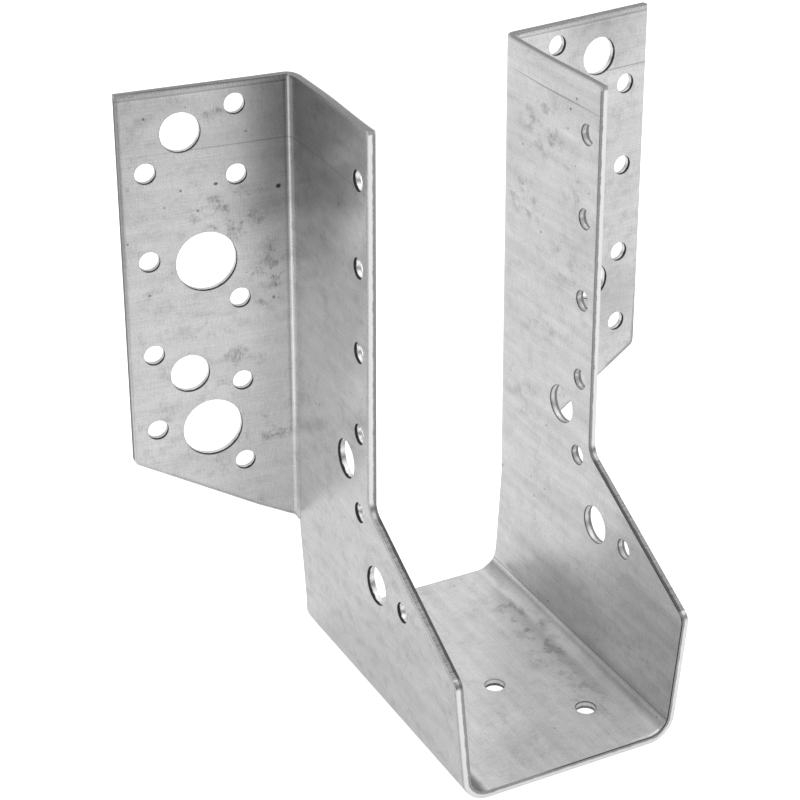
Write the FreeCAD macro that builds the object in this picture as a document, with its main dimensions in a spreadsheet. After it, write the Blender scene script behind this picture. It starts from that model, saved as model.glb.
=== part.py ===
"""Joist hanger: one blank of zinc-coated sheet, punched and folded along four lines.

A seat carries the joist's end, two cheeks stand up from it, and each cheek's back edge is
folded outwards into a header flange. The right half is modelled and then mirrored.

While it is modelled, X runs across the joist from its middle, Y runs back from the seat's
front edge towards the header, and Z runs up from the seat's underside. The finished body is
moved so that its origin is under the middle of its plan. All sizes are in millimetres.
"""
import FreeCAD, Part
import os

import Sketcher

NODE = "joist_hanger"

# Each driving size: its name in the sheet, its value and what it is.
SIZES = (
    ("sheet_thickness", 2.0, "thickness of the blank"),
    ("clear_width", 58.0, "between the cheeks at their widest, at knee height"),
    ("hanger_height", 150.0, "seat underside to the top edge"),
    ("seat_depth", 85.5, "front edge of the seat to the header"),
    ("seat_fold_radius", 4.8, "inside the fold between seat and cheek"),
    ("header_fold_radius", 2.6, "inside the fold between cheek and flange"),
    ("knee_height", 33.0, "height below which the cheek leans in towards the seat"),
    ("knee_radius", 24.0, "inside the soft bend at that height"),
    ("foot_lean", 5.2, "degrees by which the cheek leans in below the knee"),
    ("cheek_lean", 0.38, "degrees by which it leans in above the knee, towards its top"),
    ("fold_end_height", 33.6, "lower end of the header fold"),
    ("flare_reach", 42.7, "how far the cheek's foot reaches in front of its upper part"),
    ("nose_height", 33.4, "top of the foot's upright front edge"),
    ("shoulder_height", 56.5, "where the sloped edge meets the upright upper edge"),
    ("nose_round", 3.0, "corner radius at the nose"),
    ("shoulder_round", 4.5, "corner radius at the shoulder"),
    ("seat_relief", 1.3, "seat's free back edge in front of the header"),
    ("cheek_relief", 2.4, "cheek's free back edge in front of the header"),
    ("heel_height", 8.0, "height at which the back edge runs out to the seat"),
    ("heel_start", 3.0, "height at which that run starts on the seat"),
    ("flange_width", 41.9, "header flange, from the line of the cheek's inner face"),
    ("flange_splay", 6.35, "degrees by which each flange stands back from square"),
    ("flange_low_edge", 56.8, "height of the flange's lower outer corner"),
    ("flange_corner_round", 1.8, "radius of that corner"),
    ("nail_hole", 5.0, "diameter of the nail holes"),
    ("bolt_hole", 9.6, "diameter of the bolt holes"),
    ("anchor_hole", 14.8, "diameter of the large anchor holes"),
    ("inner_column", 14.2, "inner nail holes, out from the cheek's inner face"),
    ("outer_column", 35.75, "outer nail holes, out from the cheek's inner face"),
    ("bolt_column", 27.2, "bolt holes, out from the cheek's inner face"),
    ("anchor_column", 22.1, "anchor holes, out from the cheek's inner face"),
    ("inner_nail_first", 5.4, "first inner nail hole, below the top edge"),
    ("inner_nail_second", 22.5, "second inner nail hole, below the top edge"),
    ("inner_nail_low", 52.5, "height of the lowest inner nail hole"),
    ("inner_nail_pitch", 21.85, "between the lower three inner nail holes"),
    ("outer_nail_first", 19.4, "first outer nail hole, below the top edge"),
    ("outer_nail_second", 41.2, "second outer nail hole, below the top edge"),
    ("outer_nail_third", 84.8, "height of the third outer nail hole"),
    ("outer_nail_low", 64.9, "height of the lowest outer nail hole"),
    ("bolt_upper", 10.6, "upper bolt hole, below the top edge"),
    ("bolt_lower", 78.5, "height of the lower bolt hole"),
    ("anchor_upper", 43.2, "upper anchor hole, below the top edge"),
    ("anchor_lower", 63.0, "height of the lower anchor hole"),
    ("joist_nail_edge", 5.0, "joist nail line behind the cheek's upper front edge"),
    ("joist_nail_first", 13.0, "first hole of the joist nail line, below the top edge"),
    ("joist_nail_low", 53.5, "height of the lowest hole in that line"),
    ("foot_nail_depth", 25.8, "nail hole in the foot, behind the seat's front edge"),
    ("foot_hole_height", 38.3, "height of the foot's nail hole and bolt hole"),
    ("foot_bolt_depth", 38.9, "bolt hole in the foot, behind the seat's front edge"),
    ("cheek_bolt_depth", 55.3, "bolt hole above it, behind the seat's front edge"),
    ("cheek_bolt_height", 64.2, "height of that bolt hole"),
    ("seat_nail_front", 17.5, "nail hole near the seat's front, behind its edge"),
    ("seat_nail_side", 14.8, "the same hole, to the right of the middle"),
    ("seat_nail_middle", 36.0, "nail hole in the middle of the seat, behind its edge"),
    ("cutter_margin", 5.0, "how far a cutting outline runs past the sheet"),
)

# Derived places, each written once from the driving sizes.
HALF_WIDTH = "(sizes.clear_width / 2)"
LEVEL_THICKNESS = "(sizes.sheet_thickness / cos(sizes.cheek_lean))"
INNER_TOP = "(sizes.clear_width / 2 - (sizes.hanger_height - sizes.knee_height) * tan(sizes.cheek_lean))"
INNER_FACE = "(sizes.clear_width / 2 - (sizes.fold_end_height - sizes.knee_height) * tan(sizes.cheek_lean))"
OUTER_FACE = f"({INNER_FACE} + {LEVEL_THICKNESS})"
KNEE_CENTRE_X = "(sizes.clear_width / 2 - sizes.knee_radius * cos(sizes.cheek_lean))"
KNEE_CENTRE_Z = "(sizes.knee_height - sizes.knee_radius * sin(sizes.cheek_lean))"
SEAT_FOLD_X = (
    f"((sizes.knee_radius - sizes.seat_fold_radius + {KNEE_CENTRE_X} * cos(sizes.foot_lean)"
    f" + (sizes.sheet_thickness + sizes.seat_fold_radius - {KNEE_CENTRE_Z}) * sin(sizes.foot_lean))"
    " / cos(sizes.foot_lean))"
)
FOLD_OUTER_RADIUS = f"(sizes.header_fold_radius + {LEVEL_THICKNESS})"
FOLD_CENTRE_X = f"({OUTER_FACE} + sizes.header_fold_radius)"
FOLD_START = (
    f"(sizes.seat_depth - {FOLD_OUTER_RADIUS} * (1 - sin(sizes.flange_splay)) / cos(sizes.flange_splay))"
)
FLANGE_TIP_X = f"({INNER_FACE} + sizes.flange_width * cos(sizes.flange_splay))"
OVERALL_DEPTH = "(sizes.seat_depth + sizes.flange_width * sin(sizes.flange_splay))"
EDGE_RISE = "(sizes.shoulder_height - sizes.nose_height)"
CORNER_SHARE = f"((sqrt(sizes.flare_reach ^ 2 + {EDGE_RISE} ^ 2) - {EDGE_RISE}) / sizes.flare_reach)"
NOSE_START = f"(sizes.nose_height - sizes.nose_round * {CORNER_SHARE})"
SHOULDER_END = f"(sizes.shoulder_height + sizes.shoulder_round * {CORNER_SHARE})"

HORIZONTAL_AXIS, VERTICAL_AXIS = range(-1, -3, -1)
START, END, CENTRE = range(1, 4)
JOIST_NAIL_COUNT = 5
INNER_NAIL_LOW_COUNT = 3
PLACE_TOLERANCE = 1e-4


def make_sheet(doc):
    """Write the driving sizes into a spreadsheet, one named cell each."""
    sheet = doc.addObject("Spreadsheet::Sheet", "sizes")
    for row, (name, size, note) in enumerate(SIZES, start=1):
        sheet.set(f"A{row}", note)
        sheet.set(f"B{row}", str(size))
        sheet.setAlias(f"B{row}", name)
    doc.recompute()
    return sheet


def value(doc, expression):
    """Work an expression on the sheet's cells out as a plain number."""
    result = doc.getObject("sizes").evalExpression(expression)
    return float(getattr(result, "Value", result))


def new_sketch(body, name, role):
    """Attach an empty sketch to one of the body's own origin planes."""
    sketch = body.newObject("Sketcher::SketchObject", name)
    planes = [item for item in body.Origin.OriginFeatures if item.Role == role]
    sketch.AttachmentSupport = [(planes[0], "")]
    sketch.MapMode = "FlatFace"
    return sketch


def bind(sketch, constraint, expression):
    """Add a dimension to a sketch and tie it to the sheet."""
    index = sketch.addConstraint(constraint)
    sketch.setExpression(f"Constraints[{index}]", expression)
    return index


def place_point(sketch, geometry, point, across, up):
    """Tie a point's two coordinates to expressions."""
    doc = sketch.Document
    for kind, expression, axis in (("DistanceX", across, VERTICAL_AXIS), ("DistanceY", up, HORIZONTAL_AXIS)):
        if expression == "0":
            sketch.addConstraint(Sketcher.Constraint("PointOnObject", geometry, point, axis))
        else:
            size = value(doc, expression)
            bind(sketch, Sketcher.Constraint(kind, HORIZONTAL_AXIS, START, geometry, point, size), expression)


def line(start, end):
    """A straight piece of an outline between two (across, up) points."""
    return Part.LineSegment(FreeCAD.Vector(*start, 0), FreeCAD.Vector(*end, 0))


def polygon(sketch, corners):
    """Draw a closed outline whose corners are pairs of expressions."""
    doc = sketch.Document
    points = [(value(doc, across), value(doc, up)) for across, up in corners]
    count = len(points)
    first = sketch.GeometryCount
    for index in range(count):
        sketch.addGeometry(line(points[index], points[(index + 1) % count]), False)
    for index in range(count):
        following = first + (index + 1) % count
        sketch.addConstraint(Sketcher.Constraint("Coincident", first + index, END, following, START))
    for index, (across, up) in enumerate(corners):
        place_point(sketch, first + index, START, across, up)


def from_top(drop):
    """The height of a place given by its distance below the top edge."""
    return f"(sizes.hanger_height - sizes.{drop})"


def round_holes(sketch, diameter, centres):
    """Draw equal circles at places given as pairs of expressions."""
    doc = sketch.Document
    radius = value(doc, f"sizes.{diameter} / 2")
    for across, up in centres:
        middle = FreeCAD.Vector(value(doc, across), value(doc, up), 0)
        hole = sketch.addGeometry(Part.Circle(middle, FreeCAD.Vector(0, 0, 1), radius), False)
        place_point(sketch, hole, CENTRE, across, up)
        bind(sketch, Sketcher.Constraint("Radius", hole, radius), f"sizes.{diameter} / 2")


def extrude(body, kind, name, sketch, length=None, both_ways=False, flipped=False):
    """Pad or pocket a sketch, by an expression's length or right through."""
    feature = body.newObject(kind, name)
    feature.Profile = sketch
    feature.Reversed = flipped
    if length is None:
        feature.Type = "ThroughAll"
    else:
        feature.setExpression("Length", length)
    if both_ways and hasattr(feature, "SideType"):
        feature.SideType = "Symmetric"
    elif both_ways:
        feature.Midplane = True
    body.Document.recompute()
    return feature


def round_edge(body, name, feature, radius, across_face):
    """Fillet the short edges whose two ends both satisfy a test of their place."""
    chosen = []
    for number, edge in enumerate(feature.Shape.Edges, start=1):
        if len(edge.Vertexes) == 2 and all(across_face(vertex.Point) for vertex in edge.Vertexes):
            chosen.append(f"Edge{number}")
    fillet = body.newObject("PartDesign::Fillet", name)
    fillet.Base = (feature, chosen)
    fillet.setExpression("Radius", f"sizes.{radius}")
    body.Document.recompute()
    return fillet


def arc(centre, radius, start, end):
    """A piece of a circle, anticlockwise between two angles."""
    circle = Part.Circle(centre, FreeCAD.Vector(0, 0, 1), radius)
    return Part.ArcOfCircle(circle, start, end)


def heading(vector):
    """The angle of a vector in its sketch, anticlockwise from the first axis."""
    angle = FreeCAD.Vector(1, 0, 0).getAngle(vector)
    return angle if vector.y >= 0 else -angle


def join(sketch, joints):
    """Join the ends of named pieces, each joint as (kind, first, its end, second, its end)."""
    for kind, first, first_end, second, second_end in joints:
        sketch.addConstraint(Sketcher.Constraint(kind, first, first_end, second, second_end))


def seat_and_cheek(body):
    """Pad half of the channel: half of the seat, its fold and one cheek with its soft knee."""
    doc = body.Document
    sketch = new_sketch(body, "channel_section", "XZ_Plane")
    thickness = value(doc, "sizes.sheet_thickness")
    level_thickness = value(doc, LEVEL_THICKNESS)
    height = value(doc, "sizes.hanger_height")
    inner_top = value(doc, INNER_TOP)
    fold_radius = value(doc, "sizes.seat_fold_radius")
    knee_radius = value(doc, "sizes.knee_radius")
    knee_centre = FreeCAD.Vector(value(doc, KNEE_CENTRE_X), value(doc, KNEE_CENTRE_Z), 0)
    fold_centre = FreeCAD.Vector(value(doc, SEAT_FOLD_X), thickness + fold_radius, 0)
    turn = FreeCAD.Rotation(FreeCAD.Vector(0, 0, 1), value(doc, "sizes.cheek_lean"))
    above = turn.multVec(FreeCAD.Vector(1, 0, 0))
    turn = FreeCAD.Rotation(FreeCAD.Vector(0, 0, 1), -value(doc, "sizes.foot_lean"))
    below = turn.multVec(FreeCAD.Vector(1, 0, 0))
    down = heading(FreeCAD.Vector(0, -1, 0))
    outer_fold_radius = fold_radius + thickness
    outer_knee_radius = knee_radius + thickness

    def at(centre, direction, radius):
        point = centre + direction * radius
        return point.x, point.y

    def draw(shape):
        return sketch.addGeometry(shape, False)

    outer_foot_ends = at(fold_centre, below, outer_fold_radius), at(knee_centre, below, outer_knee_radius)
    inner_foot_ends = at(knee_centre, below, knee_radius), at(fold_centre, below, fold_radius)
    outer_wall_ends = at(knee_centre, above, outer_knee_radius), (inner_top + level_thickness, height)
    under = draw(line((0, 0), (fold_centre.x, 0)))
    outer_fold = draw(arc(fold_centre, outer_fold_radius, down, heading(below)))
    outer_foot = draw(line(*outer_foot_ends))
    outer_knee = draw(arc(knee_centre, outer_knee_radius, heading(below), heading(above)))
    outer_wall = draw(line(*outer_wall_ends))
    top = draw(line((inner_top + level_thickness, height), (inner_top, height)))
    inner_wall = draw(line((inner_top, height), at(knee_centre, above, knee_radius)))
    inner_knee = draw(arc(knee_centre, knee_radius, heading(below), heading(above)))
    inner_foot = draw(line(*inner_foot_ends))
    inner_fold = draw(arc(fold_centre, fold_radius, down, heading(below)))
    seat_top = draw(line((fold_centre.x, thickness), (0, thickness)))
    middle = draw(line((0, thickness), (0, 0)))

    joints = (
        ("Tangent", under, END, outer_fold, START),
        ("Tangent", outer_fold, END, outer_foot, START),
        ("Tangent", outer_foot, END, outer_knee, START),
        ("Tangent", outer_knee, END, outer_wall, START),
        ("Coincident", outer_wall, END, top, START),
        ("Coincident", top, END, inner_wall, START),
        ("Tangent", inner_wall, END, inner_knee, END),
        ("Tangent", inner_knee, START, inner_foot, START),
        ("Tangent", inner_foot, END, inner_fold, END),
        ("Tangent", inner_fold, START, seat_top, START),
        ("Coincident", seat_top, END, middle, START),
        ("Coincident", middle, END, under, START),
        ("Coincident", outer_knee, CENTRE, inner_knee, CENTRE),
        ("Coincident", outer_fold, CENTRE, inner_fold, CENTRE),
        ("Coincident", under, START, HORIZONTAL_AXIS, START),
    )
    join(sketch, joints)
    sketch.addConstraint(Sketcher.Constraint("PointOnObject", under, END, HORIZONTAL_AXIS))
    sketch.addConstraint(Sketcher.Constraint("PointOnObject", middle, START, VERTICAL_AXIS))
    sketch.addConstraint(Sketcher.Constraint("Parallel", inner_wall, outer_wall))
    sketch.addConstraint(Sketcher.Constraint("Horizontal", top))
    place_point(sketch, inner_wall, START, INNER_TOP, "sizes.hanger_height")
    place_point(sketch, inner_wall, END, HALF_WIDTH, "sizes.knee_height")
    fold_place = (HORIZONTAL_AXIS, START, inner_fold, CENTRE, fold_centre.x)
    bind(sketch, Sketcher.Constraint("DistanceX", *fold_place), SEAT_FOLD_X)
    widths = (
        ("Distance", middle, "sizes.sheet_thickness", thickness),
        ("Distance", top, LEVEL_THICKNESS, level_thickness),
        ("Radius", inner_knee, "sizes.knee_radius", knee_radius),
        ("Radius", inner_fold, "sizes.seat_fold_radius", fold_radius),
    )
    for kind, piece, expression, size in widths:
        bind(sketch, Sketcher.Constraint(kind, piece, size), expression)
    doc.recompute()
    return extrude(body, "PartDesign::Pad", "channel", sketch, "sizes.seat_depth", flipped=True)


def front_edge(body):
    """Cut the cheek's flared front edge, with its rounded nose and shoulder."""
    doc = body.Document
    sketch = new_sketch(body, "front_waste", "YZ_Plane")
    above = "sizes.hanger_height + sizes.cutter_margin"
    ahead = "-sizes.cutter_margin"
    nose_centre = ("sizes.nose_round", NOSE_START)
    shoulder_centre = ("sizes.flare_reach - sizes.shoulder_round", SHOULDER_END)

    def spot(across, up):
        return FreeCAD.Vector(value(doc, across), value(doc, up), 0)

    slope = spot("sizes.flare_reach", EDGE_RISE)
    upward = FreeCAD.Vector(-slope.y, slope.x, 0).normalize()
    nose_radius = value(doc, "sizes.nose_round")
    shoulder_radius = value(doc, "sizes.shoulder_round")
    nose = spot(*nose_centre)
    shoulder = spot(*shoulder_centre)
    nose_end = nose + upward * nose_radius
    shoulder_start = shoulder - upward * shoulder_radius
    level = heading(FreeCAD.Vector(-1, 0, 0))
    nose_arc = sketch.addGeometry(arc(nose, nose_radius, heading(upward), abs(level)), False)
    slope_ends = (nose_end.x, nose_end.y), (shoulder_start.x, shoulder_start.y)
    slope_line = sketch.addGeometry(line(*slope_ends), False)
    shoulder_arc = sketch.addGeometry(arc(shoulder, shoulder_radius, heading(upward * -1), 0), False)
    outline = (
        ("sizes.flare_reach", SHOULDER_END),
        ("sizes.flare_reach", above),
        (ahead, above),
        (ahead, NOSE_START),
        ("0", NOSE_START),
    )
    points = [(value(doc, across), value(doc, up)) for across, up in outline]
    sides = [sketch.addGeometry(line(*pair), False) for pair in zip(points, points[1:])]
    joints = [("Coincident", first, END, second, START) for first, second in zip(sides, sides[1:])]
    joints += (
        ("Coincident", sides[-1], END, nose_arc, END),
        ("Tangent", nose_arc, START, slope_line, START),
        ("Tangent", slope_line, END, shoulder_arc, START),
        ("Coincident", shoulder_arc, END, sides[0], START),
    )
    join(sketch, joints)
    for side, (across, up) in zip(sides, outline):
        place_point(sketch, side, START, across, up)
    place_point(sketch, sides[-1], END, *outline[-1])
    place_point(sketch, nose_arc, CENTRE, *nose_centre)
    place_point(sketch, shoulder_arc, CENTRE, *shoulder_centre)
    doc.recompute()
    return extrude(body, "PartDesign::Pocket", "front_edge", sketch, both_ways=True)


def back_edge(body):
    """Cut the free back edge of the seat and the lower cheek, and all behind the header fold."""
    above = "sizes.hanger_height + sizes.cutter_margin"
    behind = "sizes.seat_depth + sizes.cutter_margin"
    seat_edge = "sizes.seat_depth - sizes.seat_relief"
    cheek_edge = "sizes.seat_depth - sizes.cheek_relief"
    sketch = new_sketch(body, "back_waste", "YZ_Plane")
    corners = (
        (FOLD_START, "sizes.fold_end_height"),
        (FOLD_START, above),
        (behind, above),
        (behind, "-sizes.cutter_margin"),
        (seat_edge, "-sizes.cutter_margin"),
        (seat_edge, "sizes.heel_start"),
        (cheek_edge, "sizes.heel_height"),
        (cheek_edge, "sizes.fold_end_height"),
    )
    polygon(sketch, corners)
    return extrude(body, "PartDesign::Pocket", "back_edge", sketch, both_ways=True)


def header_flange(body):
    """Pad the header fold and its flange, seen in plan, and slope the lower edge."""
    doc = body.Document
    sketch = new_sketch(body, "flange_plan", "XY_Plane")
    sketch.setExpression("AttachmentOffset.Base.z", "sizes.fold_end_height")
    thickness = value(doc, LEVEL_THICKNESS)
    inner = value(doc, INNER_FACE)
    radius = value(doc, "sizes.header_fold_radius")
    start = value(doc, FOLD_START)
    splay = value(doc, "sizes.flange_splay")
    tip_x = value(doc, FLANGE_TIP_X)
    turn = FreeCAD.Rotation(FreeCAD.Vector(0, 0, 1), splay)
    along = turn.multVec(FreeCAD.Vector(1, 0, 0))
    back = turn.multVec(FreeCAD.Vector(0, 1, 0))
    centre = FreeCAD.Vector(value(doc, FOLD_CENTRE_X), start, 0)
    back_joint = centre + back * (radius + thickness)
    front_joint = centre + back * radius
    back_tip = FreeCAD.Vector(tip_x, value(doc, "sizes.seat_depth") + (tip_x - inner) * along.y / along.x, 0)
    front_tip = back_tip - back * thickness
    half_turn = heading(FreeCAD.Vector(-1, 0, 0))
    fold_end = heading(back)

    cheek_end = sketch.addGeometry(line((inner, start), (inner + thickness, start)), False)
    outer_arc = sketch.addGeometry(arc(centre, radius + thickness, fold_end, half_turn), False)
    back_face = sketch.addGeometry(Part.LineSegment(back_joint, back_tip), False)
    tip = sketch.addGeometry(Part.LineSegment(back_tip, front_tip), False)
    front_face = sketch.addGeometry(Part.LineSegment(front_tip, front_joint), False)
    inner_arc = sketch.addGeometry(arc(centre, radius, fold_end, half_turn), False)

    joints = (
        ("Coincident", cheek_end, START, outer_arc, END),
        ("Tangent", outer_arc, START, back_face, START),
        ("Coincident", back_face, END, tip, START),
        ("Coincident", tip, END, front_face, START),
        ("Tangent", front_face, END, inner_arc, START),
        ("Coincident", inner_arc, END, cheek_end, END),
        ("Coincident", outer_arc, CENTRE, inner_arc, CENTRE),
    )
    join(sketch, joints)
    sketch.addConstraint(Sketcher.Constraint("Horizontal", cheek_end))
    sketch.addConstraint(Sketcher.Constraint("Perpendicular", back_face, tip))
    place_point(sketch, outer_arc, CENTRE, FOLD_CENTRE_X, FOLD_START)
    sketch.addConstraint(Sketcher.Constraint("PointOnObject", outer_arc, CENTRE, cheek_end))
    bind(sketch, Sketcher.Constraint("Radius", outer_arc, radius + thickness), FOLD_OUTER_RADIUS)
    bind(sketch, Sketcher.Constraint("Radius", inner_arc, radius), "sizes.header_fold_radius")
    place_point(sketch, back_face, END, FLANGE_TIP_X, OVERALL_DEPTH)
    doc.recompute()
    flange = extrude(body, "PartDesign::Pad", "flange", sketch, "sizes.hanger_height - sizes.fold_end_height")
    flange.UseCustomVector = True
    flange.AlongSketchNormal = True
    flange.Direction = FreeCAD.Vector(0, 0, 1)
    flange.setExpression("Direction.x", "-sin(sizes.cheek_lean)")
    flange.setExpression("Direction.z", "cos(sizes.cheek_lean)")
    doc.recompute()

    waste = new_sketch(body, "flange_waste", "XZ_Plane")
    waste.setExpression("AttachmentOffset.Base.z", f"-{FOLD_START}")
    past_tip = f"{FLANGE_TIP_X} + sizes.cutter_margin"
    low = "sizes.fold_end_height"
    slope = f"(sizes.flange_low_edge - {low}) / ({FLANGE_TIP_X} - {OUTER_FACE})"
    waste_corners = (
        (OUTER_FACE, low),
        (past_tip, f"sizes.flange_low_edge + sizes.cutter_margin * {slope}"),
        (past_tip, f"{low} - sizes.cutter_margin"),
        (OUTER_FACE, f"{low} - sizes.cutter_margin"),
    )
    polygon(waste, waste_corners)
    return extrude(body, "PartDesign::Pocket", "flange_slope", waste)


def flange_corner(body):
    """Round the flange's lower outer corner."""
    doc = body.Document
    tip_x = value(doc, FLANGE_TIP_X)
    low = value(doc, "sizes.flange_low_edge")
    thickness = value(doc, "sizes.sheet_thickness")

    def at_corner(point):
        return abs(point.x - tip_x) < thickness and abs(point.z - low) < thickness

    return round_edge(body, "flange_corner", body.Tip, "flange_corner_round", at_corner)


def flange_holes(body):
    """Punch the flange square to its own face; each column leans as the fold does."""
    sketch = new_sketch(body, "flange_hole_plan", "XZ_Plane")
    upright = FreeCAD.Vector(0, 1, 0)
    sketch.AttachmentOffset = FreeCAD.Placement(FreeCAD.Vector(), FreeCAD.Rotation(upright, 1))
    sketch.setExpression("AttachmentOffset.Base.x", INNER_FACE)
    sketch.setExpression("AttachmentOffset.Base.z", "-sizes.seat_depth")
    sketch.setExpression("AttachmentOffset.Rotation.Angle", "sizes.flange_splay")
    body.Document.recompute()
    inner_nails = [from_top("inner_nail_first"), from_top("inner_nail_second")]
    for step in range(INNER_NAIL_LOW_COUNT):
        inner_nails.append(f"(sizes.inner_nail_low + {step} * sizes.inner_nail_pitch)")
    outer_nails = [from_top("outer_nail_first"), from_top("outer_nail_second")]
    outer_nails += ["sizes.outer_nail_third", "sizes.outer_nail_low"]
    rows = (
        ("nail_hole", "inner_column", inner_nails),
        ("nail_hole", "outer_column", outer_nails),
        ("bolt_hole", "bolt_column", [from_top("bolt_upper"), "sizes.bolt_lower"]),
        ("anchor_hole", "anchor_column", [from_top("anchor_upper"), "sizes.anchor_lower"]),
    )
    for diameter, column, heights in rows:
        centres = []
        for height in heights:
            lean = f"({height} - sizes.fold_end_height) * tan(sizes.cheek_lean)"
            centres.append((f"sizes.{column} - {lean}", height))
        round_holes(sketch, diameter, centres)
    body.Document.recompute()
    length = "4 * sizes.sheet_thickness"
    return extrude(body, "PartDesign::Pocket", "flange_holes", sketch, length, both_ways=True)


def cheek_holes(body):
    """Punch the cheek: the joist nail line, the foot's nail hole and two bolt holes."""
    sketch = new_sketch(body, "cheek_hole_plan", "YZ_Plane")
    nail_line = "sizes.flare_reach + sizes.joist_nail_edge"
    first = from_top("joist_nail_first")
    nails = []
    for step in range(JOIST_NAIL_COUNT):
        drop = f"{step} / {JOIST_NAIL_COUNT - 1} * ({first} - sizes.joist_nail_low)"
        nails.append((nail_line, f"{first} - {drop}"))
    nails.append(("sizes.foot_nail_depth", "sizes.foot_hole_height"))
    bolts = (
        ("sizes.foot_bolt_depth", "sizes.foot_hole_height"),
        ("sizes.cheek_bolt_depth", "sizes.cheek_bolt_height"),
    )
    round_holes(sketch, "nail_hole", nails)
    round_holes(sketch, "bolt_hole", bolts)
    body.Document.recompute()
    return extrude(body, "PartDesign::Pocket", "cheek_holes", sketch, both_ways=True)


def mirror_half(body):
    """Mirror the finished half, fold and punchings included, across the joist's middle."""
    plane = [item for item in body.Origin.OriginFeatures if item.Role == "YZ_Plane"][0]
    mirrored = body.newObject("PartDesign::Mirrored", "both_halves")
    mirrored.TransformMode = "Whole shape"
    mirrored.MirrorPlane = (plane, [""])
    body.Tip = mirrored
    body.Document.recompute()
    return mirrored


def seat_holes(body):
    """Punch the seat's two nail holes, one in the middle and one towards the right."""
    sketch = new_sketch(body, "seat_hole_plan", "XY_Plane")
    holes = (("0", "sizes.seat_nail_middle"), ("sizes.seat_nail_side", "sizes.seat_nail_front"))
    round_holes(sketch, "nail_hole", holes)
    body.Document.recompute()
    length = "4 * sizes.sheet_thickness"
    return extrude(body, "PartDesign::Pocket", "seat_holes", sketch, length, both_ways=True)


def build_hanger(doc):
    """Make the whole hanger as one body, in the order in which its forms depend on each other."""
    body = doc.addObject("PartDesign::Body", NODE)
    body.Label = NODE
    seat_and_cheek(body)
    front_edge(body)
    back_edge(body)
    header_flange(body)
    flange_corner(body)
    flange_holes(body)
    cheek_holes(body)
    mirror_half(body)
    seat_holes(body)
    body.setExpression("Placement.Base.y", f"-{OVERALL_DEPTH} / 2")
    doc.recompute()
    return body


def check(doc, body):
    """Stop if any feature failed, or if the hanger isn't one sound solid."""
    for item in doc.Objects:
        if "Invalid" in item.State or "Error" in item.State:
            raise RuntimeError(f"{item.Name} failed: {item.State}")
    shape = body.Shape
    if shape.isNull() or not shape.isValid():
        raise RuntimeError("the hanger's shape isn't valid")
    if len(shape.Solids) != 1:
        raise RuntimeError(f"the hanger has {len(shape.Solids)} solids, not one")


def main():
    """Build the hanger, check it and write its solid."""
    doc = FreeCAD.newDocument("joist_hanger_model")
    make_sheet(doc)
    body = build_hanger(doc)
    check(doc, body)
    os.makedirs("parts", exist_ok=True)
    body.Shape.exportStep(os.path.join("parts", f"{NODE}.step"))
    box = body.Shape.BoundBox
    print(f"{NODE}: {box.XLength:.2f} x {box.YLength:.2f} x {box.ZLength:.2f} mm")
    print(f"lowest corner: {box.XMin:.3f}, {box.YMin:.3f}, {box.ZMin:.3f}")
    print(f"volume {body.Shape.Volume:.1f} mm3, {len(body.Shape.Faces)} faces")


main()
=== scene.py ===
"""Joist hanger of zinc-coated sheet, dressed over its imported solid.

The folded sheet is a finished copy of the solid: its punched side has the rolled-over
edge of a punching, its other side the thin broken edge, and its cut faces show both.
A blank's own coordinates, unfolded, carry the rolling lines round every fold.
"""
import logging
import math
from dataclasses import dataclass, field
from enum import Enum
from functools import cached_property
from typing import Any, Union

import bpy
from mathutils import Matrix, Vector


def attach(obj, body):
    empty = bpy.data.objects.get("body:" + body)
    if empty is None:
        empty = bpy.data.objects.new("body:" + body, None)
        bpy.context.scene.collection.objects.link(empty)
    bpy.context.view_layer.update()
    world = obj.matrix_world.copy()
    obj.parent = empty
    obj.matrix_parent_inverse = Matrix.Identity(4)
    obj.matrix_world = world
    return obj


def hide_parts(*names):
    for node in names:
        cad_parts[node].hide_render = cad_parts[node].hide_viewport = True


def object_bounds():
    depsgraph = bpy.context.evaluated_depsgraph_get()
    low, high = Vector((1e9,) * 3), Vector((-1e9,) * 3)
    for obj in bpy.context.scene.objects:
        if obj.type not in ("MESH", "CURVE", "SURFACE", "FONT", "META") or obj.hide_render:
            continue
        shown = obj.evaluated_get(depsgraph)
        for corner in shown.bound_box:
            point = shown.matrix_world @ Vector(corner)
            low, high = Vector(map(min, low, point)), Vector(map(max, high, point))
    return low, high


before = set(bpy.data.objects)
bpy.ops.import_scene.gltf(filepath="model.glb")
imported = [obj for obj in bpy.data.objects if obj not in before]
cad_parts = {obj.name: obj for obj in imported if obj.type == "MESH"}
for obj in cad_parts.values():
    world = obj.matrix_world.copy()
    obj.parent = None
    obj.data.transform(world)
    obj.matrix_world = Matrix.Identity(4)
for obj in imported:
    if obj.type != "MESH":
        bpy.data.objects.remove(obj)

LOG = logging.getLogger("joist_hanger")
MM = 0.001
RELIEF = 0.1 * MM
CAD_BOX = [list(corner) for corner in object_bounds()]
Number = Union[int, float]


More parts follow.
